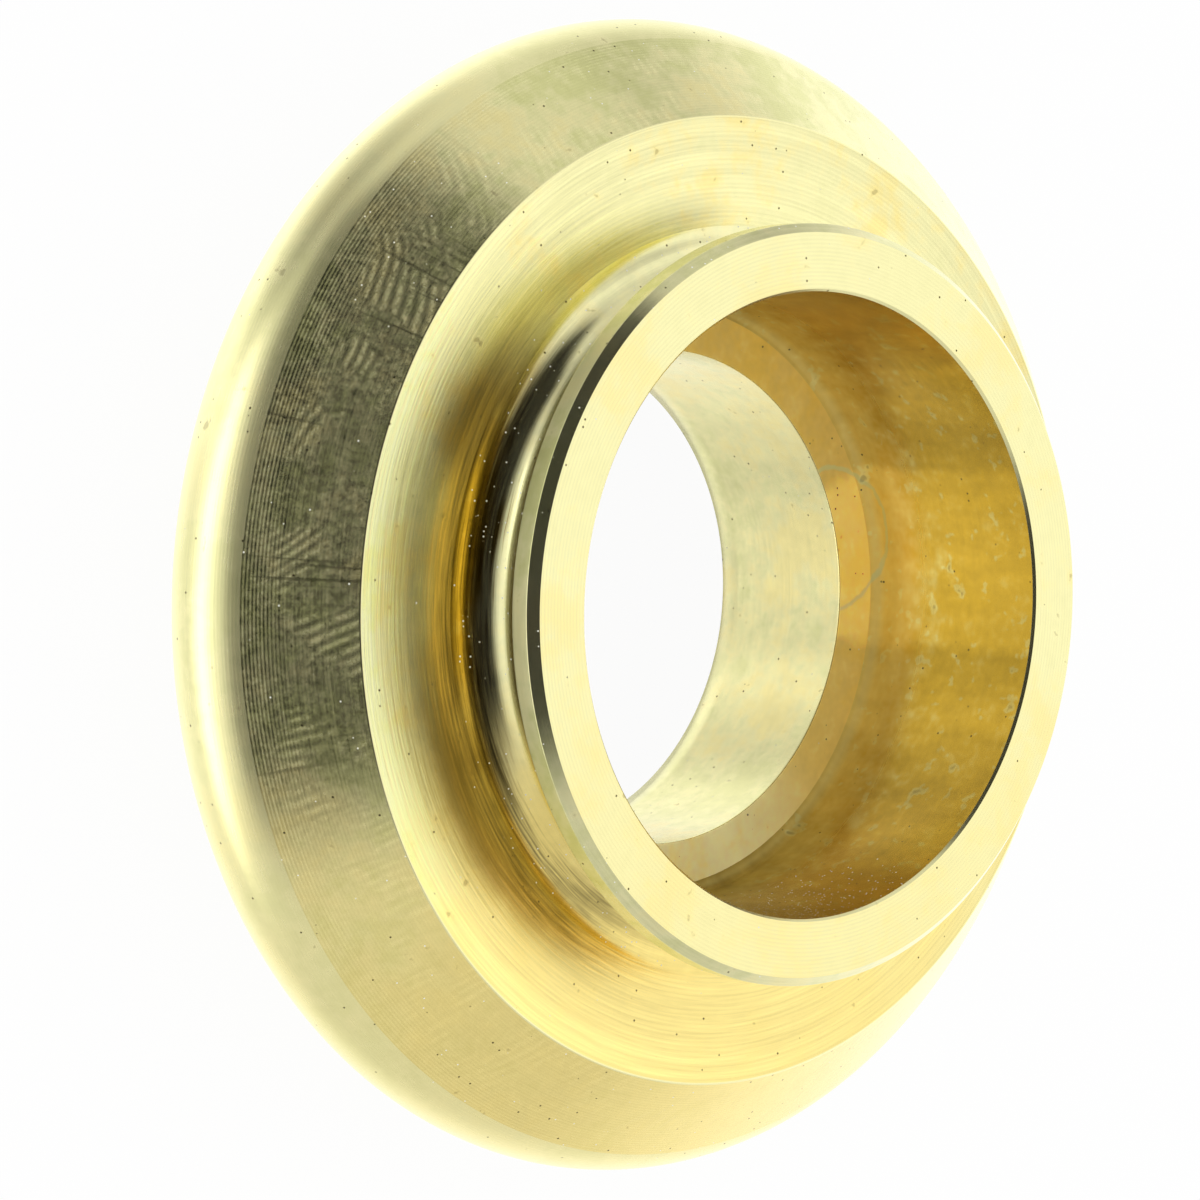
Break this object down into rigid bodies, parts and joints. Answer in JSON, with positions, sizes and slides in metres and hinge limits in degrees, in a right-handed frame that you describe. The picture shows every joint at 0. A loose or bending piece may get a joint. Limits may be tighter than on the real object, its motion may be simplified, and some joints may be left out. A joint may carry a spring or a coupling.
{
  "type": "turned flanged collar",
  "caption": "Turned brass collar with a bevelled, round-edged flange, a grooved spigot, a counterbore and a through bore.",
  "frame": {"origin": "centre of the flat back face, on the axis", "axes": "+Z along the axis of revolution, from the back face towards the spigot; X and Y are free, because the part is a body of revolution"},
  "size_m": [0.0532, 0.0532, 0.0185],
  "materials": {
    "brass": "bright turned, with fine feed lines"
  },
  "bodies": {
    "root": {"turned_collar": "brass"}
  },
  "joints": []
}
